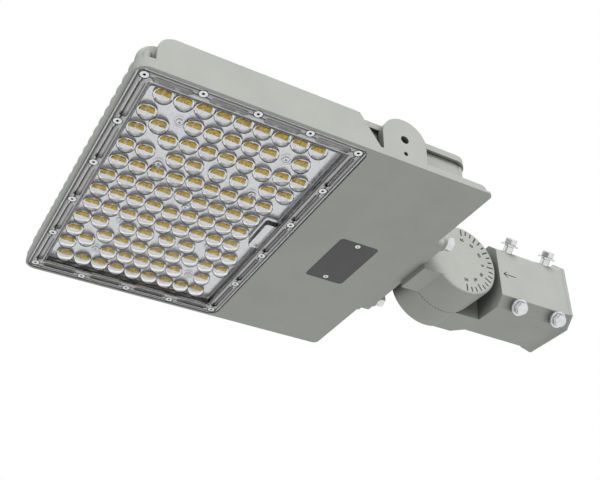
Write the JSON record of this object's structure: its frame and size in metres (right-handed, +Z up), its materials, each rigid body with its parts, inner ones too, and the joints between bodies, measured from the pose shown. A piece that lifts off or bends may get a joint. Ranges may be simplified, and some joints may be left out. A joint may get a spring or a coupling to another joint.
{
  "type": "led street light",
  "caption": "Flat LED street light head with a domed lens plate and rear cooling fins, on a graduated tilting knuckle with a slip fitter that clamps a round pole tenon.",
  "frame": {"origin": "centre of the tenon socket's mouth", "axes": "+X along the socket's axis and out of its mouth, +Z up with the head level at rest; the light shines towards -Z"},
  "size_m": [0.5331, 0.316, 0.0946],
  "materials": {
    "cast_paint": "die-cast aluminium, light grey textured powder coat",
    "seal": "light grey silicone rubber",
    "fastener": "bright stainless steel",
    "clear_cover": "clear moulded polycarbonate",
    "board": "white solder mask on an aluminium core board",
    "phosphor": "yellow phosphor under silicone",
    "connector": "off-white nylon",
    "lead": "silicone-covered lead wire",
    "driver_case": "plain metal can",
    "surge_case": "moulded plastic case",
    "cover_grey": "dark grey painted plate"
  },
  "bodies": {
    "slip_fitter": {"slip_fitter": "cast_paint", "pivot_washer": "fastener", "pivot_spring_washer": "fastener"},
    "head": {"heatsink_housing": "cast_paint", "driver_lid": "cast_paint", "lid_gasket": "seal", "lid_screws": "fastener", "lens_plate": "clear_cover", "lens_gasket": "seal", "lens_screws": "fastener", "led_board": "board", "led_chips": "phosphor", "board_screws": "fastener", "board_connector": "connector", "led_leads": "lead", "lead_grommet": "seal", "led_driver": "driver_case", "driver_screws": "fastener", "surge_protector": "surge_case", "terminal_block": "connector", "supply_grommet": "seal", "access_cover": "cover_grey", "access_gasket": "seal", "access_screws": "fastener", "arm_gasket": "seal", "knuckle_arm": "cast_paint", "arm_bolts": "fastener", "arm_washers": "fastener", "arm_spring_washers": "fastener", "pivot_bolt": "fastener"},
    "set_bolt_1": {"set_bolt_1": "fastener"},
    "set_bolt_2": {"set_bolt_2": "fastener"},
    "set_bolt_3": {"set_bolt_3": "fastener"},
    "set_bolt_4": {"set_bolt_4": "fastener"}
  },
  "joints": [
    {"name": "knuckle_tilt", "type": "hinge", "parent": "slip_fitter", "child": "head", "pos_m": [-0.1375, 0, 0], "axis": [0, 1, 0], "range_deg": [-90, 90]},
    {"name": "set_bolt_1_screw", "type": "slide", "parent": "slip_fitter", "child": "set_bolt_1", "axis": [0, 0.7071, -0.7071], "range_m": [0, 0.0075]},
    {"name": "set_bolt_2_screw", "type": "slide", "parent": "slip_fitter", "child": "set_bolt_2", "axis": [0, 0.7071, -0.7071], "range_m": [0, 0.0075]},
    {"name": "set_bolt_3_screw", "type": "slide", "parent": "slip_fitter", "child": "set_bolt_3", "axis": [0, 0.7071, 0.7071], "range_m": [0, 0.0075]},
    {"name": "set_bolt_4_screw", "type": "slide", "parent": "slip_fitter", "child": "set_bolt_4", "axis": [0, 0.7071, 0.7071], "range_m": [0, 0.0075]}
  ]
}
